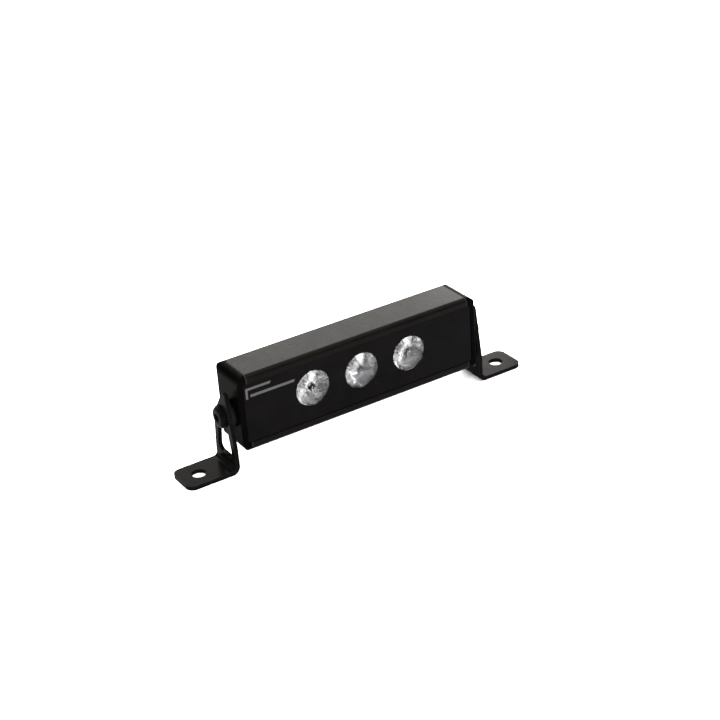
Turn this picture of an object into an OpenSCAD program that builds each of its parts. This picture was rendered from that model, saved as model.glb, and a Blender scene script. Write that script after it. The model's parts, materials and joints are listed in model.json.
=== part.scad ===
// Slim three-lamp LED light bar on a pair of L brackets.
// Millimetres. +X along the bar, -Y is the side the light comes out of, +Z up.
// The origin is on the mounting plane, half way between the two foot holes.

/* [Lamp body] */
// overall length of the lamp body over both end caps
bar_length = 129; // [127:0.5:170]
// height of the lamp body
bar_height = 38; // [37.5:0.5:42]
// depth of the lamp body from front rim to fin tips
bar_depth = 21.5; // [21.5:0.5:25]
// radius of the long edges and of the upright rear edges of the end caps
edge_r = 2.2; // [1.5:0.1:2.6]
// radius of the upper and lower outer edges of the end caps
cap_edge_r = 4; // [3:0.1:4]
// radius of the upright front edges of the end caps
cap_front_r = 0.8; // [0.5:0.1:1.5]
// thickness of each end cap's outer plate
cap_t = 4.2; // [4.2:0.1:5]
// thickness of the rubber gasket under each end cap
cap_gasket_t = 0.5; // [0.4:0.1:1.2]
// thickness of the top and bottom walls of the extrusion
wall_t = 2.6; // [2.2:0.1:3]
// width of the rim seen above and below the front plate
rim_w = 4.1; // [3.6:0.1:4.4]
// width of the end cap rim seen beside the front plate
rim_end = 2.5; // [2:0.1:3]
// depth of the cooling fins on the back
fin_depth = 3; // [2:0.25:3.25]
// width of each groove between the fins
fin_gap = 2; // [1.5:0.1:2.4]

/* [Optics] */
// distance between neighbouring lamp centres
optic_pitch = 26.4; // [24:0.1:27.5]
// radius of each round window in the front plate
window_r = 8.7; // [8:0.1:9.6]
// height of the lamp centres above the middle of the body
optic_lift = 1.1; // [0:0.1:1.5]
// outer radius of the reflector cups
cup_r = 10.9; // [10:0.1:11.1]

/* [Brackets] */
// sheet thickness of the brackets
plate_t = 2; // [1.5:0.25:2.5]
// inner bend radius of the brackets
bend_r = 2; // [1.5:0.25:3]
// gap between the end cap and the bracket leg, filled by the spacer washer
leg_gap = 2.5; // [2.25:0.25:4]
// width of the foot and of the lower end of the leg
leg_w = 18.4; // [17:0.2:22]
// height above the mounting plane where the front edge of the leg starts to lean back
leg_flare_z = 13.5; // [12:0.5:16]
// distance from the bolt line to the rear shoulder of the leg
shoulder_y = 7.3; // [7:0.1:8.5]
// height of the rear shoulder above the mounting plane
shoulder_z = 25.4; // [24:0.2:27]
// radius of the small round tip of the leg
tip_r = 2; // [1.5:0.1:2.5]
// distance of the centre of the tip in front of the bolt line
tip_y = 3.6; // [3:0.1:4.2]
// height of the centre of the tip above the mounting plane
tip_z = 37.4; // [35:0.2:38]
// height of the middle of the lamp body above the mounting plane
body_z = 29.2; // [29:0.2:34]
// distance of the pivot bolts below the middle of the lamp body
pivot_drop = 2.9; // [0:0.1:3.5]
// length of the foot beyond the outer face of the leg
foot_len = 24; // [22:0.2:30]
// distance of the foot hole from the outer face of the leg
foot_hole_out = 14.5; // [12:0.1:16]
// radius of the foot hole, a clearance hole for a 6 mm bolt
foot_hole_r = 3.5; // [3.2:0.05:4.5]
// radius of the outer corners of the foot
foot_corner_r = 4; // [2:0.5:6]
// radius of the upper end of the opening in the leg, around the bolt
slot_top_r = 3.4; // [3.2:0.05:3.6]
// half width of the opening near its lower end
slot_low_w = 6.3; // [4:0.1:6.6]
// radius of the lower corners of the opening
slot_low_r = 2.8; // [2:0.1:3.5]
// height of the lower edge of the opening above the mounting plane
slot_low_z = 6.8; // [5.6:0.1:8]

/* [Fasteners] */
// shank radius of the pivot bolts
bolt_r = 3; // [2.5:0.5:3]
// head radius of the pivot bolts
bolt_head_r = 5; // [4.75:0.05:5.5]
// head height of the pivot bolts
bolt_head_h = 1.5; // [1.4:0.1:3.2]
// outer radius of the flat washers
washer_r = 5.5; // [5.2:0.1:6.5]
// thickness of the flat washers
washer_t = 0.8; // [0.8:0.1:1.6]
// outer radius of the spacer washers between lamp and bracket
spacer_r = 6.5; // [5.5:0.1:8]

/* [Cable entry] */
// distance of the cable gland from the middle of the bar
gland_x = 45.5; // [45.3:0.1:46]
// radius of the hole for the cable
cable_r = 2.6; // [2:0.1:2.8]

/* [Show] */
// which piece to show

/* [Hidden] */
$fn = 72;
e = 0.01;
hl = bar_length / 2;
hh = bar_height / 2;
hd = bar_depth / 2;
body_hl = hl - cap_t - cap_gasket_t;      // half length of the extrusion
plate_hl = hl - rim_end;                  // half length of the front recess
rec_z = hh - rim_w;                       // half height of the front recess
cav_z = hh - wall_t;                      // half height of the main cavity
ledge_z = rec_z - 1.5;                    // half height of the opening behind the ledge
front_y = -hd;                            // front rim
bez_y0 = front_y + 0.3;                   // front face of the front plate
bez_y1 = front_y + 1.3;                   // back face of the front plate
lens_y1 = bez_y1 + 1;                     // back face of the clear window
led_y = lens_y1 + 0.6;                    // front of the ledge, back of the lens seal
ledge_y1 = led_y + 1.2;                   // back of the ledge
back_y = 5.5;                             // inner face of the back wall
fin_y = hd - fin_depth;                   // root of the fins
pcb_y1 = back_y - 0.5;                    // back face of the circuit board
pcb_y0 = pcb_y1 - 1.6;                    // front face of the circuit board
pcb_x0 = -51.2;
pcb_x1 = 37.8;
pcb_hz = 11.2;
cup_y0 = lens_y1 + 0.6;                   // front rim of the reflectors
cup_in = cup_r - 0.5;                     // inner radius of the reflector rim
spig_l = 6.5;                             // length of the end cap spigot
leg_in = hl + leg_gap;                    // inner face of the leg
leg_out = leg_in + plate_t;               // outer face of the leg
foot_end = leg_out + foot_len;
hole_x = leg_out + foot_hole_out;
pivot_z = body_z - pivot_drop;
play = 0.05;                              // running gap beside the leg
gland_y = hd - fin_depth;                 // seat of the gland
black_sat = [0.13, 0.13, 0.135];
black_gls = [0.06, 0.06, 0.065];
steel_blk = [0.20, 0.20, 0.205];
alu = [0.75, 0.76, 0.78];
rubber_c = [0.09, 0.09, 0.09];
brass_c = [0.78, 0.62, 0.30];

// ---------- building blocks ----------
// cylinders with their axis along X, Y or Z, from a to b
module cyl_x(r, a, b, y = 0, z = 0) translate([a, y, z]) rotate([0, 90, 0]) cylinder(r = r, h = b - a);
module cyl_y(r, a, b, x = 0, z = 0) translate([x, b, z]) rotate([90, 0, 0]) cylinder(r = r, h = b - a);
module cyl_z(r, a, b, x = 0, y = 0) translate([x, y, a]) cylinder(r = r, h = b - a);
module box(x0, x1, y0, y1, z0, z1) translate([x0, y0, z0]) cube([x1 - x0, y1 - y0, z1 - z0]);
module hex_y(af, a, b, x = 0, z = 0) translate([x, b, z]) rotate([90, 0, 0]) cylinder(r = af / sqrt(3), h = b - a, $fn = 6);
module lamp() translate([0, 0, body_z]) children();
// bar with round long edges, from x0 to x1
module round_bar(x0, x1, r) {
    box(x0, x1, -hd + r, hd - r, -hh, hh);
    box(x0, x1, -hd, hd, -hh + r, hh - r);
    for (y = [-hd + r, hd - r], z = [-hh + r, hh - r]) cyl_x(r, x0, x1, y, z);
}
// half section of a low dome: straight side of height h0, then an arc up to height h with a flat of radius rf
module dome_profile(r, h0, h, rf) polygon([[0, 0], [r, 0],
    for (a = [0:15:90]) [rf + (r - rf) * cos(a), h0 + (h - h0) * sin(a)], [0, h]]);
module screw_y(r, head_r, head_h, y_seat, y_end, x, z) {
    difference() {
        cyl_y(head_r, y_seat - head_h, y_seat, x, z);
        cyl_y(1.1, y_seat - head_h - e, y_seat - head_h + 1, x, z);
    }
    cyl_y(r, y_seat - e, y_end, x, z);
}

// ---------- lamp body ----------
// aluminium extrusion: front rim, ledge for the window, main cavity, finned back
module housing() color(black_sat) lamp() difference() {
    round_bar(-body_hl, body_hl, edge_r);
    // front recess for the front plate and the window
    box(-body_hl - 1, body_hl + 1, front_y - 1, led_y, -rec_z, rec_z);
    // opening between the ledges
    box(-body_hl - 1, body_hl + 1, led_y - 1, ledge_y1 + 1, -ledge_z, ledge_z);
    // main cavity
    box(-body_hl - 1, body_hl + 1, ledge_y1, back_y, -cav_z, cav_z);
    // grooves between the fins
    for (i = [-3.5:1:3.5]) box(-body_hl - 1, body_hl + 1, fin_y, hd + 1, i * 4 - fin_gap / 2, i * 4 + fin_gap / 2);
    // milled seat and hole of the cable gland
    cyl_y(8.4, gland_y, hd + 1, gland_x, 0);
    cyl_y(5.1, back_y - 1, hd + 1, gland_x, 0);
    // tapped blind holes of the board screws
    for (p = board_screw_at) cyl_y(1.3, back_y - 1, back_y + 2, p[0], p[1]);
    // countersunk holes of the end cap screws in the bottom wall
    for (s = [-1, 1], y = [-3, 3]) {
        cyl_z(1.6, -hh - 1, -cav_z + 1, s * (body_hl - 3.4), y);
        translate([s * (body_hl - 3.4), y, -hh - e]) cylinder(r1 = 3, r2 = 1.6, h = 1.5);
    }
}
board_screw_at = [[-optic_pitch / 2, -8.4], [optic_pitch / 2, -8.4], [-optic_pitch / 2, 9], [optic_pitch / 2, 9], [-48.5, -8.4], [-48.5, 8.4]];

// black front plate with three bevelled round windows, lying in the recess over housing and caps
module front_plate() color(black_gls) lamp() difference() {
    box(-plate_hl + 0.15, plate_hl - 0.15, bez_y0, bez_y1, -rec_z + 0.15, rec_z - 0.15);
    for (k = [-1:1]) {
        cyl_y(window_r, bez_y0 - 1, bez_y1 + 1, k * optic_pitch, optic_lift);
        translate([k * optic_pitch, bez_y0 - e, optic_lift]) rotate([-90, 0, 0]) cylinder(r1 = window_r + 0.4, r2 = window_r, h = 0.4 + e);
    }
}

// plain printed mark at the left of the front plate: a thin angle and a thin bar
module front_mark() color([0.85, 0.85, 0.86]) lamp() translate([0, bez_y0, 0]) rotate([90, 0, 0]) linear_extrude(0.1) {
    polygon([[-60.9, 7.3], [-59.8, 7.3], [-59.8, 11.5], [-48.4, 11.5], [-47.8, 12.7], [-60.9, 12.7]]);
    polygon([[-58.6, 7.9], [-36.2, 7.9], [-35.6, 9.2], [-58.6, 9.2]]);
}

// clear window sheet behind the front plate, with a raised disc that fills each opening almost flush
module lens_window() color([0.85, 0.9, 0.95, 0.4]) lamp() {
    box(-plate_hl + 0.3, plate_hl - 0.3, bez_y1, lens_y1, -rec_z + 0.2, rec_z - 0.2);
    for (k = [-1:1]) cyl_y(window_r - 0.05, bez_y0 + 0.1, bez_y1 + e, k * optic_pitch, optic_lift);
}

// flat rubber frame between window and ledge
module lens_seal() color(rubber_c) lamp() difference() {
    box(-plate_hl + 0.5, plate_hl - 0.5, lens_y1, led_y, -rec_z + 0.2, rec_z - 0.2);
    box(-plate_hl + 4.5, plate_hl - 4.5, lens_y1 - 1, led_y + 1, -ledge_z + 0.1, ledge_z - 0.1);
}

// black carrier that centres the three reflectors
module optic_holder() color(black_sat) lamp() difference() {
    box(-51, 51, lens_y1 + 0.1, lens_y1 + 2, -ledge_z + 0.3, ledge_z - 0.3);
    for (k = [-1:1]) cyl_y(cup_r + 0.1, lens_y1 - 1, lens_y1 + 3, k * optic_pitch, optic_lift);
}

// clear collimator lens: flat front with a central dimple, flange, parabolic side, hollow foot over the LED
module collimator(k) color([0.9, 0.94, 0.97, 0.35]) lamp() translate([k * optic_pitch, 0, optic_lift]) rotate([90, 0, 0]) rotate_extrude()
    polygon([[0, -(lens_y1 + 3.4)], [1.1, -(lens_y1 + 3.2)], [1.7, -(lens_y1 + 1.2)], [2, -(lens_y1 + 0.05)],
        [cup_r - 0.15, -(lens_y1 + 0.05)], [cup_r - 0.15, -(cup_y0 - 0.05)], [cup_in - 0.3, -(cup_y0 - 0.05)],
        for (i = [6:-1:0]) [sqrt(3 * 3 + ((cup_in - 0.45) * (cup_in - 0.45) - 3 * 3) * i / 7), -(pcb_y0 - 1.1 - (pcb_y0 - 1.1 - cup_y0) * i / 7)],
        [2.1, -(pcb_y0 - 1.1)], [1.95, -(pcb_y0 - 3.8)], [1.5, -(pcb_y0 - 4.7)], [0.8, -(pcb_y0 - 5.2)], [0, -(pcb_y0 - 5.3)]]);
module collimator_left() collimator(-1);
module collimator_centre() collimator(0);
module collimator_right() collimator(1);

// bright cup with a parabolic wall, standing on the board around its LED and holding the lens
function cup_at(i) = [sqrt(2.9 * 2.9 + (cup_in * cup_in - 2.9 * 2.9) * i / 7), -(pcb_y0 - 0.8 - (pcb_y0 - 0.8 - cup_y0) * i / 7)];
module reflector(k) color(alu) lamp() translate([k * optic_pitch, 0, optic_lift]) rotate([90, 0, 0]) rotate_extrude()
    polygon([[3.8, -pcb_y0], [3.8, -(pcb_y0 - 0.8)], for (i = [0:7]) cup_at(i),
        [cup_r, -cup_y0], [cup_r, -(cup_y0 + 1.1)], for (i = [6:-1:2]) cup_at(i) + [0.6, -0.3], [5, -(pcb_y0 - 1)], [5, -pcb_y0]]);
module reflector_left() reflector(-1);
module reflector_centre() reflector(0);
module reflector_right() reflector(1);

// square LED package with its dome
module led(k) color([0.95, 0.9, 0.6]) lamp() {
    box(k * optic_pitch - 2.5, k * optic_pitch + 2.5, pcb_y0 - 0.7, pcb_y0, optic_lift - 2.5, optic_lift + 2.5);
    intersection() {
        translate([k * optic_pitch, pcb_y0 - 0.7, optic_lift]) sphere(r = 1.7);
        box(k * optic_pitch - 3, k * optic_pitch + 3, pcb_y0 - 4, pcb_y0 - 0.4, optic_lift - 3, optic_lift + 3);
    }
}
module led_left() led(-1);
module led_centre() led(0);
module led_right() led(1);

// metal-core circuit board on the back wall
module circuit_board() color([0.88, 0.89, 0.87]) lamp() difference() {
    box(pcb_x0, pcb_x1, pcb_y0, pcb_y1, -pcb_hz, pcb_hz);
    for (p = board_screw_at) cyl_y(1.65, pcb_y0 - 1, pcb_y1 + 1, p[0], p[1]);
}
// soft pad that carries the heat from board to housing
module thermal_pad() color([0.45, 0.55, 0.62]) lamp() difference() {
    box(pcb_x0, pcb_x1, pcb_y1, back_y, -pcb_hz, pcb_hz);
    for (p = board_screw_at) cyl_y(1.65, pcb_y1 - 1, back_y + 1, p[0], p[1]);
}
module board_screws() color(alu) lamp() for (p = board_screw_at) screw_y(1.25, 2.4, 1.6, pcb_y0, back_y + 1.7, p[0], p[1]);
// current regulator and its parts on the left end of the board
module driver_chip() color(black_gls) lamp() {
    box(-46, -40.8, pcb_y0 - 1.5, pcb_y0, -6.6, -2.4);
    for (i = [0:3]) for (s = [-1, 1]) box(-45.6 + i * 1.27, -45.2 + i * 1.27, pcb_y0 - 0.5, pcb_y0, s > 0 ? -2.4 : -7.4, s > 0 ? -1.6 : -6.6);
}
module power_inductor() color([0.25, 0.24, 0.24]) lamp() {
    box(-46, -39.4, pcb_y0 - 0.6, pcb_y0, 0.2, 6.8);
    cyl_y(3, pcb_y0 - 4.4, pcb_y0 - 0.6 + e, -42.7, 3.5);
}
module filter_capacitors() color([0.7, 0.71, 0.74]) lamp() for (z = [-9, 9.1]) cyl_y(2, pcb_y0 - 5.4, pcb_y0, -38.2, z);
// two insulated leads from the cable gland to the board
module lead(z0, z1) {
    cyl_y(0.8, 0.4, 2.6, gland_x, z0);
    translate([gland_x, 0.4, z0]) sphere(r = 0.8);
    translate([pcb_x1 - 1.7, 0.4, z0]) rotate([0, 90, 0]) cylinder(r = 0.8, h = gland_x - pcb_x1 + 1.7);
    translate([pcb_x1 - 1.7, 0.4, z0]) sphere(r = 0.8);
    cyl_z(0.8, min(z0, z1), max(z0, z1), pcb_x1 - 1.7, 0.4);
    translate([pcb_x1 - 1.7, 0.4, z1]) sphere(r = 0.8);
    cyl_y(0.8, 0.4, pcb_y0, pcb_x1 - 1.7, z1);
}
module lead_wire_red() color([0.7, 0.08, 0.06]) lamp() lead(1.2, 6);
module lead_wire_black() color([0.05, 0.05, 0.05]) lamp() lead(-1.2, -6);

// ---------- end caps ----------
// outer plate with rounded edges, and a spigot that enters the extrusion and holds the threaded insert
module end_cap(s) color(black_sat) lamp() mirror([s < 0 ? 1 : 0, 0, 0]) difference() {
    union() {
        intersection() {
            round_bar(hl - cap_t, hl, edge_r);
            // upper and lower outer edges
            union() {
                box(hl - cap_t - 1, hl - cap_edge_r, -hd - 1, hd + 1, -hh - 1, hh + 1);
                box(hl - cap_edge_r - e, hl, -hd - 1, hd + 1, -hh + cap_edge_r, hh - cap_edge_r);
                for (z = [-hh + cap_edge_r, hh - cap_edge_r]) cyl_y(cap_edge_r, -hd - 1, hd + 1, hl - cap_edge_r, z);
            }
            // upright outer edges, tight in front and rounder behind
            union() {
                box(hl - cap_t - 1, hl - edge_r, -hd - 1, hd + 1, -hh - 1, hh + 1);
                box(hl - edge_r - e, hl - cap_front_r, -hd - 1, hd - edge_r, -hh - 1, hh + 1);
                box(hl - cap_front_r - e, hl, -hd + cap_front_r, hd - edge_r, -hh - 1, hh + 1);
                cyl_z(cap_front_r, -hh - 1, hh + 1, hl - cap_front_r, -hd + cap_front_r);
                cyl_z(edge_r, -hh - 1, hh + 1, hl - edge_r, hd - edge_r);
            }
        }
        box(body_hl - spig_l, hl - cap_t + e, ledge_y1 + 0.2, back_y - 0.2, -cav_z + 0.2, cav_z - 0.2);
        box(body_hl - spig_l, hl - cap_t + e, led_y, ledge_y1 + 0.3, -ledge_z + 0.2, ledge_z - 0.2);
    }
    // the front recess runs on into the cap
    box(hl - cap_t - cap_gasket_t - 1, plate_hl, front_y - 1, led_y, -rec_z, rec_z);
    // clearance hole and insert pocket of the pivot bolt
    cyl_x(bolt_r + 0.2, body_hl - spig_l - 1, hl + 1, 0, -pivot_drop);
    cyl_x(4.5, body_hl - spig_l - 1, body_hl - 0.7, 0, -pivot_drop);
    // pilot holes of the two screws that hold the spigot
    for (y = [-3, 3]) cyl_z(1.25, -cav_z - 1, -cav_z + 6.2, body_hl - 3.4, y);
}
module left_end_cap() end_cap(-1);
module right_end_cap() end_cap(1);

// rubber sheet between cap and extrusion, open for the spigot and for the front recess
module cap_gasket(s) color(rubber_c) lamp() mirror([s < 0 ? 1 : 0, 0, 0]) difference() {
    union() {
        box(body_hl, body_hl + cap_gasket_t, -hd + edge_r, hd - fin_depth - 0.2, -hh + 0.2, hh - 0.2);
        box(body_hl, body_hl + cap_gasket_t, -hd + 0.2, -hd + edge_r + e, -hh + edge_r, hh - edge_r);
        for (z = [-hh + edge_r, hh - edge_r]) cyl_x(edge_r - 0.2, body_hl, body_hl + cap_gasket_t, -hd + edge_r, z);
    }
    box(body_hl - 1, body_hl + 2, -hd, led_y, -rec_z, rec_z);
    box(body_hl - 1, body_hl + 2, ledge_y1, back_y, -cav_z, cav_z);
    box(body_hl - 1, body_hl + 2, led_y - 1, ledge_y1 + 1, -ledge_z, ledge_z);
}
module left_cap_gasket() cap_gasket(-1);
module right_cap_gasket() cap_gasket(1);

// four small countersunk screws from below, two in each spigot
module cap_screws() color(steel_blk) lamp() for (s = [-1, 1], y = [-3, 3]) difference() {
    union() {
        cyl_z(1.2, -hh + 1.4, -cav_z + 5.6, s * (body_hl - 3.4), y);
        translate([s * (body_hl - 3.4), y, -hh + 0.15]) cylinder(r1 = 2.8, r2 = 1.5, h = 1.39);
    }
    translate([s * (body_hl - 3.4), y, -hh - e]) cylinder(r = 0.9, h = 0.9);
}

// ---------- pivot hardware ----------
// brass threaded insert held in the spigot
module insert(s) color(brass_c) lamp() mirror([s < 0 ? 1 : 0, 0, 0]) difference() {
    cyl_x(4.45, body_hl - spig_l + 0.1, body_hl - 0.8, 0, -pivot_drop);
    cyl_x(bolt_r + 0.05, body_hl - spig_l - 1, body_hl + 1, 0, -pivot_drop);
}
module left_insert() insert(-1);
module right_insert() insert(1);

// button-head bolt with a hexagon socket
module pivot_bolt(s) color(steel_blk) lamp() mirror([s < 0 ? 1 : 0, 0, 0]) translate([0, 0, -pivot_drop]) {
    head_x = leg_out + 2 * play + washer_t;
    difference() {
        translate([head_x, 0, 0]) rotate([0, 90, 0]) rotate_extrude() dome_profile(bolt_head_r, 0.4, bolt_head_h, 3);
        translate([head_x + bolt_head_h - 1.1, 0, 0]) rotate([0, 90, 0]) cylinder(r = 2 / cos(30), h = 3, $fn = 6);
    }
    cyl_x(bolt_r, body_hl - spig_l + 0.6, head_x + e);
}
module left_pivot_bolt() pivot_bolt(-1);
module right_pivot_bolt() pivot_bolt(1);

// black nylon spacer that fills the gap between cap and leg
module spacer(s) color(rubber_c) lamp() mirror([s < 0 ? 1 : 0, 0, 0]) translate([0, 0, -pivot_drop]) difference() {
    cyl_x(spacer_r, hl + play, leg_in - play);
    cyl_x(bolt_r + 0.3, hl - 1, leg_out);
}
module left_spacer() spacer(-1);
module right_spacer() spacer(1);

// flat steel washer outside the leg
module flat_washer(s) color(steel_blk) lamp() mirror([s < 0 ? 1 : 0, 0, 0]) translate([0, 0, -pivot_drop]) difference() {
    cyl_x(washer_r, leg_out + play, leg_out + play + washer_t);
    cyl_x(bolt_r + 0.3, leg_out - 1, leg_out + 5);
}
module left_washer() flat_washer(-1);
module right_washer() flat_washer(1);

// ---------- brackets ----------
// angle of the outward normal of the straight line that touches circle a and then circle b, both turned to the left of the line
function touch(ay, az, ar, by, bz, br) = atan2(bz - az, by - ay) - acos((ar - br) / norm([by - ay, bz - az]));
// point just inside a circle at the given angle
function rim_at(cy, cz, r, a) = [cy + (r - 0.03) * cos(a), cz + (r - 0.03) * sin(a)];
// leg: straight sides, the front one leaning back, the rear one cut off above its shoulder, and a small round tip
module leg_shape(x0, x1) {
    w = leg_w / 2;
    z0 = plate_t + bend_r;
    rear = touch(shoulder_y, shoulder_z, 0, -tip_y, tip_z, tip_r);
    front = 180 - touch(w, leg_flare_z, 0, tip_y, tip_z, tip_r);
    translate([x0, 0, 0]) rotate([90, 0, 90]) linear_extrude(x1 - x0)
        polygon([[-w, z0], [w, z0], [w, z0 + 3], [shoulder_y, shoulder_z], rim_at(-tip_y, tip_z, tip_r, rear), rim_at(-tip_y, tip_z, tip_r, front), [-w, leg_flare_z]]);
    cyl_x(tip_r, x0, x1, -tip_y, tip_z);
}
// opening: round round the bolt, wider below, with round lower corners
module leg_opening(x0, x1) {
    cw = slot_low_w - slot_low_r;
    cz = slot_low_z + slot_low_r;
    side = touch(cw, cz, slot_low_r, 0, pivot_z, slot_top_r);
    low = rim_at(cw, cz, slot_low_r, side);
    top = rim_at(0, pivot_z, slot_top_r, side);
    translate([x0, 0, 0]) rotate([90, 0, 90]) linear_extrude(x1 - x0)
        polygon([[-cw, slot_low_z + 0.03], [cw, slot_low_z + 0.03], [cw + 0.01, cz], low, top, [-top[0], top[1]], [-low[0], low[1]], [-cw - 0.01, cz]]);
    for (y = [-cw, cw]) cyl_x(slot_low_r, x0, x1, y, cz);
    cyl_x(slot_top_r, x0, x1, 0, pivot_z);
}
// bent sheet: leg with its opening, bend, foot with round corners and one hole
module bracket(s) color(steel_blk) mirror([s < 0 ? 1 : 0, 0, 0]) difference() {
    union() {
        leg_shape(leg_in, leg_out);
        // bend
        intersection() {
            difference() {
                cyl_y(plate_t + bend_r, -leg_w / 2, leg_w / 2, leg_out + bend_r, plate_t + bend_r);
                cyl_y(bend_r, -leg_w, leg_w, leg_out + bend_r, plate_t + bend_r);
            }
            box(leg_in - 1, leg_out + bend_r, -leg_w, leg_w, -1, plate_t + bend_r);
        }
        // foot
        box(leg_out + bend_r, foot_end - foot_corner_r, -leg_w / 2, leg_w / 2, 0, plate_t);
        box(leg_out + bend_r, foot_end, -leg_w / 2 + foot_corner_r, leg_w / 2 - foot_corner_r, 0, plate_t);
        for (y = [-1, 1]) cyl_z(foot_corner_r, 0, plate_t, foot_end - foot_corner_r, y * (leg_w / 2 - foot_corner_r));
    }
    leg_opening(leg_in - 1, leg_out + 1);
    // foot hole
    cyl_z(foot_hole_r, -1, plate_t + 1, hole_x, 0);
}
module left_bracket() bracket(-1);
module right_bracket() bracket(1);

// ---------- cable gland on the back ----------
module gland_body() color(black_sat) lamp() difference() {
    union() {
        cyl_y(5, back_y - 2.6, gland_y + 1.2, gland_x, 0);
        hex_y(13, gland_y + 0.8, gland_y + 3.8, gland_x, 0);
        cyl_y(5, gland_y + 3.7, gland_y + 8, gland_x, 0);
    }
    cyl_y(cable_r + 0.3, back_y - 4, gland_y + 9, gland_x, 0);
    cyl_y(3.9, gland_y + 3, gland_y + 9, gland_x, 0);
}
// locknut inside the housing
module gland_nut() color(black_sat) lamp() difference() {
    hex_y(12, back_y - 2.5, back_y, gland_x, 0);
    cyl_y(5.05, back_y - 4, back_y + 1, gland_x, 0);
}
// rubber ring under the gland flange
module gland_ring() color(rubber_c) lamp() difference() {
    cyl_y(7, gland_y, gland_y + 0.8, gland_x, 0);
    cyl_y(5.1, gland_y - 1, gland_y + 2, gland_x, 0);
}
// rubber sleeve that grips the cable
module gland_seal() color([0.2, 0.2, 0.2]) lamp() difference() {
    cyl_y(3.8, gland_y + 3.1, gland_y + 8.9, gland_x, 0);
    cyl_y(cable_r, gland_y + 2, gland_y + 12, gland_x, 0);
}
// domed cap nut
module gland_cap() color(black_sat) lamp() difference() {
    translate([gland_x, gland_y + 4, 0]) rotate([-90, 0, 0]) rotate_extrude() dome_profile(6.5, 3.6, 6.6, 3.8);
    cyl_y(cable_r + 0.25, gland_y, gland_y + 20, gland_x, 0);
    cyl_y(5.1, gland_y + 3, gland_y + 8.95, gland_x, 0);
}

housing();
front_plate();
front_mark();
lens_window();
lens_seal();
optic_holder();
collimator_left();
collimator_centre();
collimator_right();
reflector_left();
reflector_centre();
reflector_right();
led_left();
led_centre();
led_right();
circuit_board();
thermal_pad();
board_screws();
driver_chip();
power_inductor();
filter_capacitors();
lead_wire_red();
lead_wire_black();
left_end_cap();
right_end_cap();
left_cap_gasket();
right_cap_gasket();
cap_screws();
left_insert();
right_insert();
left_pivot_bolt();
right_pivot_bolt();
left_spacer();
right_spacer();
left_washer();
right_washer();
left_bracket();
right_bracket();
gland_body();
gland_nut();
gland_ring();
gland_seal();
gland_cap();
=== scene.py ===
import bpy
import bmesh
import json
import math
import random
from mathutils import Matrix, Vector


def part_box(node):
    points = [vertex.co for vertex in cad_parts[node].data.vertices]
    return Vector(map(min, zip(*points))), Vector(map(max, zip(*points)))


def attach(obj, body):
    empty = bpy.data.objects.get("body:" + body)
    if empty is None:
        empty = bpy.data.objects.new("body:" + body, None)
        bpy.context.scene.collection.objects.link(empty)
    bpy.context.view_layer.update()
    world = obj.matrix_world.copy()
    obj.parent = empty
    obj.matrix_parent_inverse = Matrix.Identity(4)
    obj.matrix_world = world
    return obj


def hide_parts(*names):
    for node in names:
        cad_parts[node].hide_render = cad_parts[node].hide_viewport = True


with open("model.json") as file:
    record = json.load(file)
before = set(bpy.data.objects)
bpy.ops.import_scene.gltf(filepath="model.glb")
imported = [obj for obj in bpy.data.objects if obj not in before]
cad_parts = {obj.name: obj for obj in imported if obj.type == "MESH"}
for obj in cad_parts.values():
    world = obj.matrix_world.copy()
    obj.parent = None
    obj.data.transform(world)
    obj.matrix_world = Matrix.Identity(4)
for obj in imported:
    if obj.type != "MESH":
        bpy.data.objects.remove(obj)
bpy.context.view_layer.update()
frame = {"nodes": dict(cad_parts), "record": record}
N = frame["nodes"]
MM = 0.001
rnd = random.Random(7)


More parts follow.
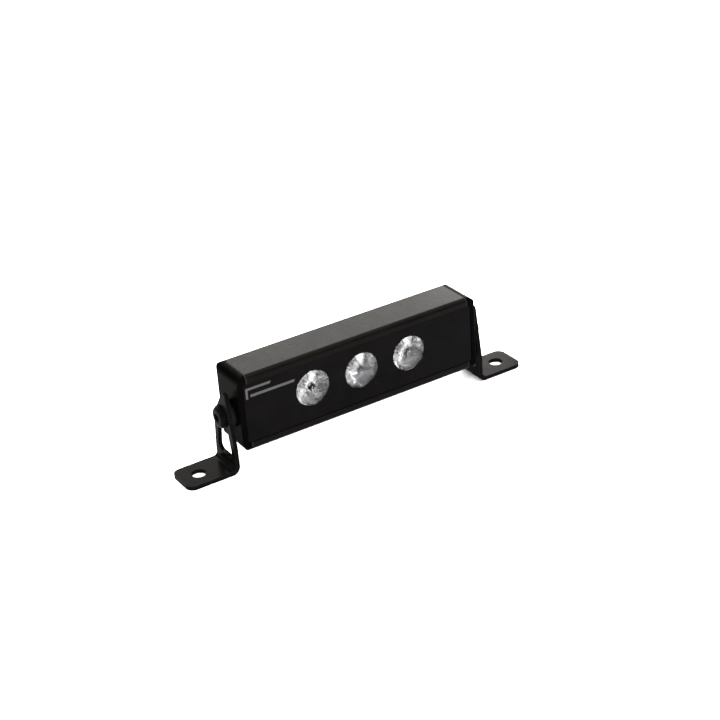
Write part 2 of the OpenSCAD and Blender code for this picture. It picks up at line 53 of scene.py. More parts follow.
# ---------------------------------------------------------------- materials
class Mat:
    """A Principled material with a few shorthands for procedural detail in object coordinates, in metres."""

    def __init__(self, name, **sockets):
        self.m = bpy.data.materials.new(name)
        self.m.use_nodes = True
        self.t = self.m.node_tree
        self.t.nodes.clear()
        out = self.new("ShaderNodeOutputMaterial")
        self.p = self.new("ShaderNodeBsdfPrincipled")
        self.link(self.p.outputs["BSDF"], out.inputs["Surface"])
        self.obj = self.new("ShaderNodeTexCoord").outputs["Object"]
        for k, v in sockets.items():
            self.p.inputs[k.replace("_", " ")].default_value = v

    def new(self, kind, **props):
        n = self.t.nodes.new(kind)
        for k, v in props.items():
            setattr(n, k, v)
        return n

    def link(self, a, b):
        self.t.links.new(a, b)

    def to(self, socket, value):
        self.link(value, self.p.inputs[socket])

    def stretch(self, x, y, z):
        n = self.new("ShaderNodeMapping")
        n.inputs["Scale"].default_value = (x, y, z)
        self.link(self.obj, n.inputs["Vector"])
        return n.outputs[0]

    def noise(self, scale, detail=3.0, rough=0.55, warp=0.0, vec=None):
        n = self.new("ShaderNodeTexNoise")
        n.inputs["Scale"].default_value = scale
        n.inputs["Detail"].default_value = detail
        n.inputs["Roughness"].default_value = rough
        n.inputs["Distortion"].default_value = warp
        self.link(vec if vec is not None else self.obj, n.inputs["Vector"])
        return n.outputs["Fac"]

    def cells(self, scale, feature="F1", vec=None):
        n = self.new("ShaderNodeTexVoronoi", feature=feature)
        n.inputs["Scale"].default_value = scale
        self.link(vec if vec is not None else self.obj, n.inputs["Vector"])
        return n.outputs["Distance"]

    def remap(self, v, a, b, lo, hi):
        n = self.new("ShaderNodeMapRange", clamp=True)
        for i, x in zip(("From Min", "From Max", "To Min", "To Max"), (a, b, lo, hi)):
            n.inputs[i].default_value = x
        self.link(v, n.inputs["Value"])
        return n.outputs[0]

    def calc(self, op, a, b):
        n = self.new("ShaderNodeMath", operation=op)
        for i, x in enumerate((a, b)):
            if isinstance(x, (int, float)):
                n.inputs[i].default_value = x
            else:
                self.link(x, n.inputs[i])
        return n.outputs[0]

    def mix(self, fac, a, b):
        n = self.new("ShaderNodeMix", data_type="RGBA")
        for i, x in ((0, fac), (6, a), (7, b)):
            if isinstance(x, tuple):
                n.inputs[i].default_value = (*x, 1.0) if len(x) == 3 else x
            elif isinstance(x, (int, float)):
                n.inputs[i].default_value = x
            else:
                self.link(x, n.inputs[i])
        return n.outputs[2]

    def edges(self, radius, lo=0.03, hi=0.3):
        """1 close to an edge, 0 on the open face."""
        bv = self.new("ShaderNodeBevel", samples=4)
        bv.inputs["Radius"].default_value = radius
        ge = self.new("ShaderNodeNewGeometry")
        d = self.new("ShaderNodeVectorMath", operation="DOT_PRODUCT")
        self.link(bv.outputs[0], d.inputs[0])
        self.link(ge.outputs["Normal"], d.inputs[1])
        return self.remap(d.outputs["Value"], 1 - hi, 1 - lo, 1.0, 0.0)

    def bumps(self, *layers):
        """Each layer is (height, depth in metres). They are stacked on one normal."""
        normal = None
        for height, depth in layers:
            n = self.new("ShaderNodeBump")
            n.inputs["Strength"].default_value = 1.0
            n.inputs["Distance"].default_value = depth
            self.link(height, n.inputs["Height"])
            if normal is not None:
                self.link(normal, n.inputs["Normal"])
            normal = n.outputs[0]
        self.to("Normal", normal)


def satin_paint(name, dark, light, worn, rough, spec, lines=False):
    """Satin powder coat: cloudy tone, orange peel, fine grain, edges rubbed a little lighter."""
    k = Mat(name, IOR=1.5, Specular_IOR_Level=spec)
    cloud = k.noise(70, 5, 0.6, 0.4)
    patch = k.noise(420, 4, 0.55)
    grain = k.noise(5200, 2, 0.5)
    tone = k.mix(k.remap(cloud, 0.3, 0.7, 0, 1), dark, light)
    tone = k.mix(k.remap(patch, 0.45, 0.8, 0, 0.35), tone, light)
    specks = k.remap(k.cells(900), 0.0, 0.07, 0.4, 0.0)
    tone = k.mix(specks, tone, worn)
    rub = k.calc("MULTIPLY", k.edges(0.45 * MM), k.remap(k.noise(260, 5, 0.7), 0.42, 0.66, 0, 0.6))
    tone = k.mix(rub, tone, worn)
    k.to("Base Color", tone)
    r = k.calc("ADD", k.remap(cloud, 0.25, 0.75, rough - 0.035, rough + 0.035), k.remap(patch, 0.3, 0.7, -0.03, 0.03))
    r = k.calc("ADD", r, k.remap(grain, 0.3, 0.7, -0.03, 0.03))
    k.to("Roughness", k.calc("SUBTRACT", r, k.calc("MULTIPLY", rub, 0.08)))
    layers = [(k.noise(150, 2, 0.4), 0.03 * MM), (k.noise(1500, 2, 0.45), 0.018 * MM), (grain, 0.004 * MM)]
    if lines:
        layers.append((k.noise(1.0, 3, 0.6, vec=k.stretch(14, 2600, 2600)), 0.005 * MM))
    k.bumps(*layers)
    return k.m


def steel_coat():
    """Black coat on bent steel sheet: smoother than powder coat, with faint forming marks and rubbed edges."""
    k = Mat("black_steel_coat", IOR=1.5, Specular_IOR_Level=0.0048)
    cloud = k.noise(95, 5, 0.62, 0.6)
    scratch = k.remap(k.noise(1.0, 2, 0.5, 1.2, vec=k.stretch(130, 2300, 700)), 0.62, 0.72, 0, 1)
    tone = k.mix(k.remap(cloud, 0.3, 0.7, 0, 1), (0.0011, 0.0010, 0.0010), (0.0026, 0.0024, 0.0023))
    rub = k.calc("MULTIPLY", k.edges(0.5 * MM), k.remap(k.noise(330, 5, 0.7), 0.40, 0.64, 0, 0.75))
    tone = k.mix(k.calc("MULTIPLY", scratch, 0.25), tone, (0.012, 0.0115, 0.011))
    tone = k.mix(rub, tone, (0.014, 0.0132, 0.0128))
    k.to("Base Color", tone)
    r = k.calc("ADD", k.remap(cloud, 0.25, 0.75, 0.19, 0.27), k.calc("MULTIPLY", scratch, 0.07))
    k.to("Roughness", k.calc("ADD", r, k.remap(k.noise(3600, 2), 0.3, 0.7, -0.03, 0.03)))
    k.bumps((k.noise(120, 2, 0.4), 0.04 * MM), (k.noise(1100, 3, 0.5), 0.014 * MM), (scratch, -0.003 * MM))
    return k.m


def front_gloss():
    """Smooth semi-gloss front plate with faint wiping marks and dust."""
    k = Mat("gloss_black_plastic", IOR=1.5, Specular_IOR_Level=0.014)
    smear = k.noise(1.0, 6, 0.62, 1.5, vec=k.stretch(45, 200, 110))
    dust = k.remap(k.cells(620), 0.0, 0.045, 1.0, 0.0)
    tone = k.mix(k.remap(k.noise(60, 4), 0.3, 0.7, 0, 1), (0.0009, 0.0008, 0.00095), (0.0018, 0.0015, 0.0018))
    tone = k.mix(k.calc("MULTIPLY", dust, 0.2), tone, (0.03, 0.03, 0.03))
    rub = k.calc("MULTIPLY", k.edges(0.2 * MM), k.remap(k.noise(300, 4), 0.4, 0.7, 0.1, 0.5))
    tone = k.mix(rub, tone, (0.012, 0.012, 0.012))
    k.to("Base Color", tone)
    r = k.calc("ADD", k.remap(smear, 0.3, 0.75, 0.19, 0.33), k.calc("MULTIPLY", dust, 0.25))
    k.to("Roughness", r)
    k.bumps((k.noise(85, 2, 0.4), 0.02 * MM), (k.noise(2400, 2, 0.5), 0.002 * MM))
    return k.m


def print_ink():
    k = Mat("white_print", IOR=1.45, Specular_IOR_Level=0.1)
    grain = k.noise(4200, 3, 0.6)
    worn = k.remap(k.noise(900, 5, 0.7), 0.60, 0.72, 0, 0.35)
    tone = k.mix(k.remap(grain, 0.3, 0.7, 0, 1), (0.026, 0.0255, 0.0255), (0.045, 0.044, 0.044))
    k.to("Base Color", k.mix(worn, tone, (0.015, 0.015, 0.015)))
    k.to("Roughness", k.remap(grain, 0.3, 0.7, 0.45, 0.62))
    k.bumps((grain, 0.004 * MM))
    return k.m


def clear(name, ior, rough, tint, ripple, pebble=0.0, grain=160, bright=(0.99, 0.99, 0.99), spec=0.5, span=(0.38, 0.64)):
    k = Mat(name, IOR=ior, Transmission_Weight=1.0, Metallic=0.0, Specular_IOR_Level=spec)
    mottle_mask = k.noise(grain, 4, 0.6)
    k.to("Base Color", k.mix(k.remap(mottle_mask, span[0], span[1], 0, 1), tint, bright))
    scratch = k.remap(k.noise(1.0, 2, 0.5, 1.0, vec=k.stretch(220, 900, 2600)), 0.66, 0.74, 0, 0.05)
    k.to("Roughness", k.calc("ADD", k.remap(mottle_mask, 0.3, 0.7, rough, rough + 0.02), scratch))
    layers = [(k.noise(240, 2, 0.4), ripple)]
    if pebble:
        layers.append((k.cells(700), pebble))
    k.bumps(*layers)
    return k.m


def rubber(name="black_rubber"):
    k = Mat(name, IOR=1.5, Specular_IOR_Level=0.12)
    grain = k.noise(2600, 4, 0.65)
    bloom = k.noise(180, 5, 0.65)
    tone = k.mix(k.remap(bloom, 0.35, 0.75, 0, 1), (0.006, 0.006, 0.006), (0.013, 0.013, 0.0125))
    k.to("Base Color", tone)
    k.to("Roughness", k.calc("ADD", k.remap(bloom, 0.3, 0.7, 0.62, 0.76), k.remap(grain, 0.3, 0.7, -0.06, 0.06)))
    k.bumps((grain, 0.014 * MM), (k.noise(600, 2), 0.012 * MM))
    return k.m


def moulded(name, dark, light, rough, spec=0.4, grain_mm=0.012):
    """Moulded nylon or resin with a spark-eroded grain."""
    k = Mat(name, IOR=1.5, Specular_IOR_Level=spec)
    cell = k.cells(2300, "SMOOTH_F1")
    cloud = k.noise(140, 4, 0.6)
    tone = k.mix(k.remap(cloud, 0.3, 0.7, 0, 1), dark, light)
    rub = k.calc("MULTIPLY", k.edges(0.35 * MM), k.remap(k.noise(420, 4), 0.4, 0.65, 0.1, 0.6))
    tone = k.mix(rub, tone, tuple(min(1.0, c * 2.4 + 0.004) for c in light))
    k.to("Base Color", tone)
    k.to("Roughness", k.calc("ADD", k.remap(cloud, 0.3, 0.7, rough - 0.05, rough + 0.05), k.remap(cell, 0.1, 0.7, -0.05, 0.05)))
    k.bumps((cell, grain_mm * MM), (k.noise(260, 2), 0.02 * MM))
    return k.m


def metal(name, tone_a, tone_b, rough, weight=1.0, turned=None, wear=None):
    """Machined or coated metal. turned is the stretch of the fine turning or drawing lines."""
    k = Mat(name, Metallic=weight)
    cloud = k.noise(230, 5, 0.62)
    tone = k.mix(k.remap(cloud, 0.3, 0.72, 0, 1), tone_a, tone_b)
    if wear:
        rub = k.calc("MULTIPLY", k.edges(0.3 * MM), k.remap(k.noise(500, 4), 0.4, 0.65, 0.1, 0.8))
        tone = k.mix(rub, tone, wear)
    k.to("Base Color", tone)
    line = k.noise(1.0, 3, 0.6, vec=k.stretch(*(turned or (2600, 2600, 2600))))
    k.to("Roughness", k.calc("ADD", k.remap(cloud, 0.3, 0.7, rough - 0.05, rough + 0.07), k.remap(line, 0.3, 0.7, -0.05, 0.05)))
    k.bumps((line, 0.004 * MM), (k.noise(900, 3), 0.006 * MM))
    return k.m


def mirror():
    """Vacuum-metallised cup: bright, with dark patches painted into its colour as painted reflections of dark
    surroundings, and a breath of haze in its roughness.
    """
    k = Mat("bright_reflector", Metallic=1.0)
    mottle_mask = k.noise(520, 4, 0.6, 0.8)
    # Painted reflection: the mottle turns patches of the metal colour nearly black, standing in for dark surroundings
    # seen in the facets.
    k.to("Base Color", k.mix(k.remap(mottle_mask, 0.44, 0.60, 0, 1), (0.62, 0.62, 0.625), (0.08, 0.08, 0.081)))
    k.to("Roughness", k.remap(mottle_mask, 0.3, 0.75, 0.05, 0.16))
    k.bumps((k.noise(900, 2), 0.006 * MM))
    return k.m


def board():
    """White solder mask over copper: raised tracks and a fibre tooth."""
    k = Mat("white_board", IOR=1.5, Specular_IOR_Level=0.45)
    tracks = k.new("ShaderNodeTexBrick")
    tracks.inputs["Scale"].default_value = 150
    tracks.inputs["Mortar Size"].default_value = 0.05
    k.link(k.stretch(1, 1, 1), tracks.inputs["Vector"])
    cloud = k.noise(160, 4)
    tone = k.mix(k.remap(cloud, 0.3, 0.7, 0, 1), (0.70, 0.71, 0.69), (0.80, 0.80, 0.78))
    tone = k.mix(k.remap(tracks.outputs["Fac"], 0, 1, 0, 0.22), tone, (0.55, 0.50, 0.40))
    k.to("Base Color", tone)
    k.to("Roughness", k.remap(cloud, 0.3, 0.7, 0.34, 0.48))
    k.bumps((tracks.outputs["Fac"], -0.02 * MM), (k.noise(1800, 3), 0.006 * MM))
    return k.m


def pad():
    k = Mat("grey_pad", IOR=1.45, Specular_IOR_Level=0.3)
    fill = k.cells(1500, "SMOOTH_F1")
    k.to("Base Color", k.mix(k.remap(fill, 0.1, 0.6, 0, 1), (0.20, 0.25, 0.31), (0.30, 0.36, 0.42)))
    k.to("Roughness", k.remap(k.noise(800, 4), 0.3, 0.7, 0.6, 0.8))
    k.bumps((fill, 0.02 * MM))
    return k.m


def wire(name, a, b):
    k = Mat(name, IOR=1.5, Specular_IOR_Level=0.5)
    n = k.noise(700, 4)
    k.to("Base Color", k.mix(k.remap(n, 0.3, 0.7, 0, 1), a, b))
    k.to("Roughness", k.remap(n, 0.3, 0.7, 0.34, 0.5))
    k.bumps((k.noise(2200, 3), 0.006 * MM))
    return k.m


paint = satin_paint("satin_black_paint", (0.0010, 0.00085, 0.0008), (0.0022, 0.0019, 0.0017), (0.009, 0.0081, 0.0074), 0.29, 0.020, lines=True)
# The end caps get a darker, less glossy copy of the housing paint: partly a cap finish of their own, partly painted
# shade on the ends of the bar.
cap_paint_and_shade = satin_paint("satin_black_cap_and_shade", (0.0004, 0.00036, 0.00034), (0.0009, 0.0008, 0.00075), (0.0035, 0.0032, 0.003), 0.32, 0.0028)
gloss = front_gloss()
ink = print_ink()
window_glass = clear("clear_plastic", 1.10, 0.0, (0.75, 0.75, 0.755), 0.002 * MM, 0.0, 160, (0.80, 0.80, 0.805), 0.5)
lens_glass = clear("clear_lens", 1.30, 0.0, (0.86, 0.86, 0.865), 0.010 * MM, 0.11 * MM, 300, (0.97, 0.97, 0.975), 0.5, (0.40, 0.60))
black_rub = rubber()
black_nylon = moulded("black_plastic", (0.002, 0.002, 0.002), (0.0042, 0.004, 0.004), 0.5, 0.03)
chrome = mirror()
ceramic = moulded("led_ceramic", (0.70, 0.70, 0.68), (0.80, 0.80, 0.78), 0.4, 0.5, 0.004)
phosphor = moulded("led_phosphor", (0.24, 0.21, 0.12), (0.33, 0.29, 0.17), 0.5, 0.4, 0.008)
dome = clear("led_dome", 1.41, 0.02, (0.96, 0.96, 0.93), 0.002 * MM)
solder = metal("led_pads", (0.60, 0.61, 0.62), (0.75, 0.75, 0.74), 0.3)
steel = steel_coat()
oxide = moulded("black_oxide_steel", (0.0008, 0.00075, 0.0007), (0.002, 0.0019, 0.0018), 0.40, 0.008, 0.003)
brass = metal("brass", (0.66, 0.47, 0.17), (0.78, 0.60, 0.27), 0.26, turned=(4200, 300, 300))
zinc = metal("zinc_screw", (0.55, 0.56, 0.57), (0.70, 0.70, 0.71), 0.28, wear=(0.8, 0.8, 0.8))
can = metal("capacitor_can", (0.66, 0.67, 0.69), (0.80, 0.80, 0.81), 0.3, turned=(900, 2800, 900))
chip = moulded("component_black", (0.014, 0.014, 0.014), (0.026, 0.026, 0.026), 0.55, 0.35, 0.006)
MATERIAL = {
    "satin_black_paint": paint, "gloss_black_plastic": gloss, "white_print": ink, "clear_plastic": window_glass,
    "black_rubber": black_rub, "black_plastic": black_nylon, "bright_reflector": chrome, "led_package": ceramic,
    "white_board": board(), "grey_pad": pad(), "zinc_screw": zinc, "component_black": chip, "capacitor_can": can,
    "red_insulation": wire("red_insulation", (0.36, 0.020, 0.014), (0.50, 0.035, 0.022)),
    "black_insulation": wire("black_insulation", (0.010, 0.010, 0.010), (0.020, 0.020, 0.020)),
    "black_steel_coat": steel, "black_oxide_steel": oxide, "brass": brass,
}
SLOT = {s["node"]: s["material_slot"] for s in frame["record"]["subparts"]}
# End caps take the darker copy of the paint, which carries painted shade for the ends of the bar.
for name, o in N.items():
    m = cap_paint_and_shade if name.endswith("end_cap") else MATERIAL[SLOT[name]]
    for i in range(len(o.material_slots)):
        o.material_slots[i].material = m


# ---------------------------------------------------------------- softened edges of the rigid parts
def soften(name, width, segments=2, angle=32):
    """Joins the imported faces, then rolls the sharp edges by the given width in mm."""
    o = N[name]
    w = o.modifiers.new("join", "WELD")
    w.merge_threshold = 1e-6
    b = o.modifiers.new("edges", "BEVEL")
    b.width = width * MM
    b.segments = segments
    b.limit_method = "ANGLE"
    b.angle_limit = math.radians(angle)
    b.use_clamp_overlap = True
    b.harden_normals = True
    b.miter_outer = "MITER_ARC"


for n in ("left_bracket", "right_bracket"):
    soften(n, 0.28, 3)
for n in ("left_washer", "right_washer"):
    soften(n, 0.2)
for n in ("left_spacer", "right_spacer"):
    soften(n, 0.35)
for n in ("gland_body", "gland_nut"):
    soften(n, 0.2)


# ---------------------------------------------------------------- mesh pieces
def finish_mesh(name, bm, mats, angle=38, smooth=True):
    bmesh.ops.recalc_face_normals(bm, faces=bm.faces)
    me = bpy.data.meshes.new(name)
    bm.to_mesh(me)
    bm.free()
    for m in mats:
        me.materials.append(m)
    if smooth:
        me.shade_smooth()
        me.set_sharp_from_angle(angle=math.radians(angle))
    o = bpy.data.objects.new(name, me)
    bpy.context.scene.collection.objects.link(o)
    return o


def lamp_spot(k):
    """Centre line of optic k: x and z of its axis."""
    lo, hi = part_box("reflector_" + ("left", "centre", "right")[k + 1])
    return (lo.x + hi.x) / 2, (lo.z + hi.z) / 2


def turn(bm, profile, x, z, count, radius=None, mat=0, mats=None):
    """Revolves (r, y) points in mm round the axis along Y through x, z. radius(t, i, r, y) may move each point."""
    rings = []
    for i, (r, y) in enumerate(profile):
        if r < 1e-6:
            rings.append([bm.verts.new((x, y * MM, z))])
            continue
        ring = []
        for j in range(count):
            t = 2 * math.pi * j / count
            rr, yy = radius(t, i, r, y) if radius else (r, y)
            ring.append(bm.verts.new((x + rr * MM * math.cos(t), yy * MM, z + rr * MM * math.sin(t))))
        rings.append(ring)
    for i in range(len(rings) - 1 if radius is None or profile[0] != profile[-1] else len(rings) - 1):
        a, b = rings[i], rings[i + 1]
        m = mats[i] if mats else mat
        for j in range(count):
            q = (j + 1) % count
            if len(a) == 1 and len(b) == 1:
                continue
            if len(a) == 1:
                f = bm.faces.new((a[0], b[q], b[j]))
            elif len(b) == 1:
                f = bm.faces.new((a[j], a[q], b[0]))
            else:
                f = bm.faces.new((a[j], a[q], b[q], b[j]))
            f.material_index = m
    return rings


PCB_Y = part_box("circuit_board")[0].y / MM          # front face of the board
CUP_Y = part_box("reflector_centre")[0].y / MM       # front rim of the cups
WIN_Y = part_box("lens_window")[1].y / MM            # back face of the window
CUP_R = (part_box("reflector_centre")[1].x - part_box("reflector_centre")[0].x) / 2 / MM   # outer radius of the cups
CUP_IN = CUP_R - 0.5                               # inner radius of their rim
SEG = 28                                           # facets round a cup
SIDES = ("left", "centre", "right")


def cup(k):
    """Metallised cup whose inside is a grid of small pillow facets."""
    x, z = lamp_spot(k)
    sub, rows = 5, 6
    y0, y1 = PCB_Y - 0.8, CUP_Y
    inner = []
    for i in range(rows * sub + 1):
        s = i / (rows * sub)
        inner.append((math.sqrt(2.9 ** 2 + (CUP_IN ** 2 - 2.9 ** 2) * s), y0 + (y1 - y0) * s))
    outer = [(CUP_R, CUP_Y), (CUP_R, CUP_Y + 1.1)]
    for i in range(6, 1, -1):
        outer.append((math.sqrt(2.9 ** 2 + (CUP_IN ** 2 - 2.9 ** 2) * i / 7) + 0.6, y0 + (y1 - y0) * i / 7 + 0.3))
    outer += [(5.0, PCB_Y - 1.0), (5.0, PCB_Y), (3.8, PCB_Y), (3.8, y0)]
    prof = inner + outer
    n_in = len(inner)
    count = SEG * sub
    tilt = [[rnd.uniform(0.55, 1.25) for _ in range(SEG)] for _ in range(rows)]

    def bulge(t, i, r, y):
        if i >= n_in - 1 or i == 0:
            return r, y
        row = min(rows - 1, i // sub)
        u = (i % sub) / sub
        shift = 0.5 * (row % 2)
        c = (t / (2 * math.pi) * SEG + shift) % SEG
        v = c % 1.0
        h = 0.2 * tilt[row][int(c) % SEG] * (1 - (2 * u - 1) ** 2) * (1 - (2 * v - 1) ** 2)
        slope = math.atan2(2 * r, (CUP_IN ** 2 - 2.9 ** 2) / (y0 - y1))
        return r - h * math.sin(slope), y - h * math.cos(slope)

    bm = bmesh.new()
    rings = turn(bm, prof, x, z, count, bulge)
    for j in range(count):
        q = (j + 1) % count
        bm.faces.new((rings[-1][j], rings[-1][q], rings[0][q], rings[0][j]))
    o = finish_mesh("cup_" + SIDES[k + 1], bm, [chrome], 30)
    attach(o, "lamp")
    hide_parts("reflector_" + SIDES[k + 1])
    return o


def collimator(k):
    """Clear lens: flat front with a dimple, flange, parabolic side, hollow foot over the LED."""
    x, z = lamp_spot(k)
    f = WIN_Y + 0.05
    prof = [(0, f + 3.35)]
    for i in range(1, 7):                                   # rounded bottom of the dimple
        a = math.radians(15 * i)
        prof.append((1.15 * math.sin(a), f + 3.35 - 0.35 * (1 - math.cos(a))))
    prof += [(1.35, f + 2.0), (1.62, f + 0.8), (1.9, f + 0.15), (2.02, f)]
    prof += [(4.5, f), (7.0, f), (CUP_R - 0.35, f), (CUP_R - 0.15, f + 0.15), (CUP_R - 0.15, CUP_Y - 0.05), (CUP_IN - 0.3, CUP_Y - 0.05)]
    y1 = PCB_Y - 1.1
    for i in range(20, -1, -1):
        s = i / 20
        prof.append((math.sqrt(9 + ((CUP_IN - 0.45) ** 2 - 9) * s), y1 - (y1 - CUP_Y) * s))
    prof += [(2.1, y1), (2.0, PCB_Y - 2.6), (1.92, PCB_Y - 3.8)]
    for i in range(1, 9):
        a = math.radians(11.25 * i)
        prof.append((1.92 * math.cos(a), PCB_Y - 3.8 - 1.45 * math.sin(a)))
    prof[-1] = (0, prof[-1][1])
    bm = bmesh.new()
    turn(bm, prof, x, z, 84)
    o = finish_mesh("lens_" + SIDES[k + 1], bm, [lens_glass], 30)
    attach(o, "lamp")
    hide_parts("collimator_" + SIDES[k + 1])
    return o


def block(bm, x0, x1, y0, y1, z0, z1, mat=0, soft=0.0):
    v = [bm.verts.new((x * MM, y * MM, z * MM)) for x in (x0, x1) for y in (y0, y1) for z in (z0, z1)]
    faces = [bm.faces.new([v[i] for i in q]) for q in ((0, 1, 3, 2), (4, 6, 7, 5), (0, 4, 5, 1), (2, 3, 7, 6), (0, 2, 6, 4), (1, 5, 7, 3))]
    for f in faces:
        f.material_index = mat
    if soft:
        edges = list({e for f in faces for e in f.edges})
        bmesh.ops.bevel(bm, geom=edges, offset=soft * MM, segments=2, affect="EDGES", profile=0.5, material=mat)


def rounded(x0, x1, z0, z1, r, y):
    """Corner points of a rounded rectangle in the plane at y, all in mm."""
    pts = []
    for cx, cz, a0 in ((x1 - r, z1 - r, 0), (x0 + r, z1 - r, 90), (x0 + r, z0 + r, 180), (x1 - r, z0 + r, 270)):
        for i in range(7):
            a = math.radians(a0 + 15 * i)
            pts.append((cx + r * math.cos(a), y, cz + r * math.sin(a)))
    return pts


def disc_ring(x, z, r, y, count=96):
    return [(x + r * math.cos(2 * math.pi * j / count), y, z + r * math.sin(2 * math.pi * j / count)) for j in range(count)]


def loop(bm, pts):
    return [bm.verts.new((a * MM, b * MM, c * MM)) for a, b, c in pts]


def skirt(bm, a, b):
    for j in range(len(a)):
        q = (j + 1) % len(a)
        bm.faces.new((a[j], a[q], b[q], b[j]))


def pierced(bm, *loops):
    """Flat sheet filling the first loop and leaving the others open."""
    edges = []
    for vs in loops:
        for j in range(len(vs)):
            q = (j + 1) % len(vs)
            edges.append(bm.edges.get((vs[j], vs[q])) or bm.edges.new((vs[j], vs[q])))
    bmesh.ops.triangle_fill(bm, edges=edges, use_beauty=True)


SPOTS = [tuple(c / MM for c in lamp_spot(k)) for k in (-1, 0, 1)]
WIN_LO, WIN_HI = (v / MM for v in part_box("lens_window"))
WIN_R = 8.65                                       # radius of the raised discs of the window


def front_plate():
    """Thin plate with small rolled edges and three round openings."""
    lo, hi = (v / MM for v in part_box("front_plate"))
    bm = bmesh.new()
    outer = [loop(bm, rounded(lo.x + d, hi.x - d, lo.z + d, hi.z - d, 0.9 - d, y))
             for d, y in ((0.20, lo.y), (0.06, lo.y + 0.05), (0.0, lo.y + 0.18), (0.0, hi.y))]
    holes = []
    for x, z in SPOTS:
        holes.append([loop(bm, disc_ring(x, z, WIN_R + g, y))
                      for g, y in ((0.55, lo.y), (0.42, lo.y + 0.04), (0.20, lo.y + 0.22), (0.05, lo.y + 0.40), (0.05, hi.y))])
    for rings in [outer] + holes:
        for a, b in zip(rings, rings[1:]):
            skirt(bm, a, b)
    pierced(bm, outer[0], *[h[0] for h in holes])
    pierced(bm, outer[-1], *[h[-1] for h in holes])
    o = finish_mesh("front_plate_rolled", bm, [gloss], 16)
    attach(o, "lamp")
    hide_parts("front_plate")


def lens_window():
    """Clear sheet with three raised discs that have a small rolled edge."""
    bm = bmesh.new()
    y_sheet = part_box("front_plate")[1].y / MM + 0.02
    outer = [loop(bm, rounded(WIN_LO.x, WIN_HI.x, WIN_LO.z, WIN_HI.z, 1.0, y)) for y in (y_sheet, WIN_HI.y)]
    skirt(bm, outer[0], outer[1])
    bm.faces.new(outer[1])
    feet = []
    for x, z in SPOTS:
        rings = [loop(bm, disc_ring(x, z, r, y)) for r, y in ((WIN_R, y_sheet), (WIN_R, WIN_LO.y + 0.35), (WIN_R - 0.12, WIN_LO.y + 0.10), (WIN_R - 0.35, WIN_LO.y))]
        for a, b in zip(rings, rings[1:]):
            skirt(bm, a, b)
        bm.faces.new(rings[-1])
        feet.append(rings[0])
    pierced(bm, outer[0], *feet)
    o = finish_mesh("window_sheet", bm, [window_glass], 16)
    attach(o, "lamp")
    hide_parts("lens_window")


front_plate()
lens_window()


def led(k):
    """Ceramic package with solder pads, a phosphor square and a clear dome."""
    x, z = (c / MM for c in lamp_spot(k))
    bm = bmesh.new()
    block(bm, x - 2.5, x + 2.5, PCB_Y - 0.7, PCB_Y, z - 2.5, z + 2.5, 0, 0.08)
    block(bm, x - 0.75, x + 0.75, PCB_Y - 0.82, PCB_Y - 0.69, z - 0.75, z + 0.75, 1, 0.02)
    for s in (-1, 1):
        block(bm, x + s * 2.05 - 0.3, x + s * 2.05 + 0.3, PCB_Y - 0.76, PCB_Y - 0.69, z - 1.8, z + 1.8, 2, 0.015)
    body = finish_mesh("led_body_" + SIDES[k + 1], bm, [ceramic, phosphor, solder], 30)
    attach(body, "lamp")
    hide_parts("led_" + SIDES[k + 1])
    bm = bmesh.new()
    prof = [(0, PCB_Y - 2.38)]
    for i in range(1, 13):
        a = math.radians(7.5 * i)
        prof.append((1.65 * math.sin(a), PCB_Y - 0.73 - 1.65 * math.cos(a)))
    prof += [(1.8, PCB_Y - 0.72), (1.8, PCB_Y - 0.70), (0, PCB_Y - 0.70)]
    turn(bm, prof, x * MM, z * MM, 48)
    d = finish_mesh("led_dome_" + SIDES[k + 1], bm, [dome], 40)
    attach(d, "lamp")


for k in (-1, 0, 1):
    cup(k)
    collimator(k)
    led(k)


def gland_cap():
    """Cap nut with grip ribs round the side and a domed front."""
    lo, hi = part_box("gland_cap")
    x, z = (lo.x + hi.x) / 2, (lo.z + hi.z) / 2
    y0, y1, r = lo.y / MM, hi.y / MM, (hi.x - lo.x) / 2 / MM
    prof = [(5.1, y0), (r - 0.35, y0), (r - 0.05, y0 + 0.3), (r, y0 + 0.8), (r, y0 + 2.2), (r, y0 + 3.2), (r - 0.02, y0 + 3.6)]
    for i in range(1, 9):
        a = math.radians(11.25 * i)
        prof.append((3.8 + (r - 3.8) * math.cos(a), y0 + 3.6 + (y1 - y0 - 3.6) * math.sin(a)))
    prof += [(3.1, y1), (2.95, y1 - 0.1), (2.85, y1 - 0.3), (2.85, y0 + 4.95), (5.1, y0 + 4.95)]

    def ribs(t, i, rr, y):
        if 2 <= i <= 6:
            rr -= 0.34 * (0.5 - 0.5 * math.cos(24 * t)) ** 2
        return rr, y

    bm = bmesh.new()
    rings = turn(bm, prof, x, z, 144, ribs)
    for j in range(144):
        q = (j + 1) % 144
        bm.faces.new((rings[-1][j], rings[-1][q], rings[0][q], rings[0][j]))
    o = finish_mesh("gland_cap_ribbed", bm, [black_nylon], 34)
    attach(o, "lamp")
    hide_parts("gland_cap")


gland_cap()

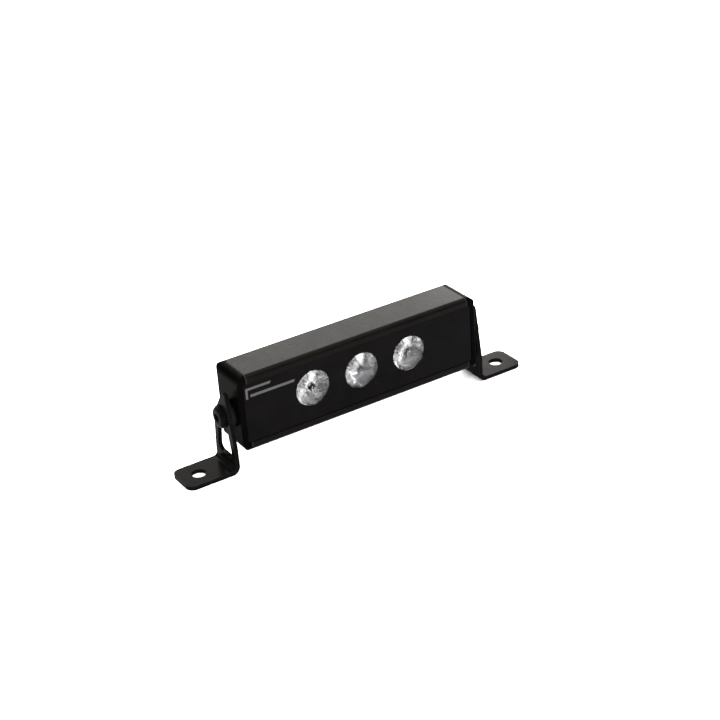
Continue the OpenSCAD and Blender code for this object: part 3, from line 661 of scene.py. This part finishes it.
# ---------------------------------------------------------------- camera
AZ, EL, ROLL = math.radians(-30.72), math.radians(27.94), math.radians(-4.19)
lamp_lo, lamp_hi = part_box("housing")
target = Vector((0, 0, (lamp_lo.z + lamp_hi.z) / 2))
back = Vector((math.sin(AZ) * math.cos(EL), -math.cos(AZ) * math.cos(EL), math.sin(EL)))
right = (-back).cross(Vector((0, 0, 1))).normalized()
up = right.cross(-back)
rr = math.cos(ROLL) * right + math.sin(ROLL) * up
uu = -math.sin(ROLL) * right + math.cos(ROLL) * up
cam_data = bpy.data.cameras.new("camera")
cam_data.sensor_width = 36
cam_data.lens = 83.5
cam_data.clip_start = 0.01
cam_data.clip_end = 50
cam = bpy.data.objects.new("camera", cam_data)
bpy.context.scene.collection.objects.link(cam)
place = target + 4.554 * MM * rr + 2.018 * MM * uu + 780 * MM * back
cam.matrix_world = Matrix((
    (rr.x, uu.x, back.x, place.x),
    (rr.y, uu.y, back.y, place.y),
    (rr.z, uu.z, back.z, place.z),
    (0, 0, 0, 1),
))
bpy.context.scene.camera = cam

# ---------------------------------------------------------------- floor and light
fm = Mat("floor_paper", Roughness=0.75, Specular_IOR_Level=0.2, IOR=1.45)
fm.p.inputs["Base Color"].default_value = (0.94, 0.94, 0.937, 1)
bm = bmesh.new()
bmesh.ops.create_grid(bm, x_segments=8, y_segments=8, size=4.0)
fme = bpy.data.meshes.new("floor")
bm.to_mesh(fme)
bm.free()
fme.materials.append(fm.m)
floor = bpy.data.objects.new("floor", fme)
floor.location = (0, 0, -0.00015)
bpy.context.scene.collection.objects.link(floor)

world = bpy.data.worlds.new("studio")
bpy.context.scene.world = world
world.use_nodes = True
bg = world.node_tree.nodes.get("Background") or world.node_tree.nodes.new("ShaderNodeBackground")
bg.inputs["Color"].default_value = (1.0, 0.99, 0.98, 1)
bg.inputs["Strength"].default_value = 0.6


def softbox(name, place, aim, w, h, power, tint=(1, 1, 1)):
    d = bpy.data.lights.new(name, "AREA")
    d.shape = "RECTANGLE"
    d.size, d.size_y = w, h
    d.energy = power
    d.color = tint
    o = bpy.data.objects.new(name, d)
    o.location = place
    o.rotation_euler = (Vector(aim) - Vector(place)).to_track_quat("-Z", "Y").to_euler()
    bpy.context.scene.collection.objects.link(o)
    return o


softbox("overhead", (0, -0.1, 1.9), (0, 0, 0), 3.8, 3.8, 205, (1.0, 0.995, 0.985))
softbox("back_sweep", (0.80, 1.90, 1.10), (0, 0, 0.03), 2.4, 1.0, 82, (1.0, 0.965, 0.92))
softbox("foot_card", (0.160, 0.130, 0.070), (0.085, 0, 0.003), 0.05, 0.04, 0.12, (1.0, 0.985, 0.97)).visible_camera = False
softbox("front_low", (-0.70, -1.70, 0.42), (0, 0, 0), 2.4, 0.6, 60, (1.0, 0.995, 0.99))

vs = bpy.context.scene.view_settings
vs.view_transform = "Standard"
vs.look = "None"
vs.exposure = 0.0
vs.gamma = 1.0
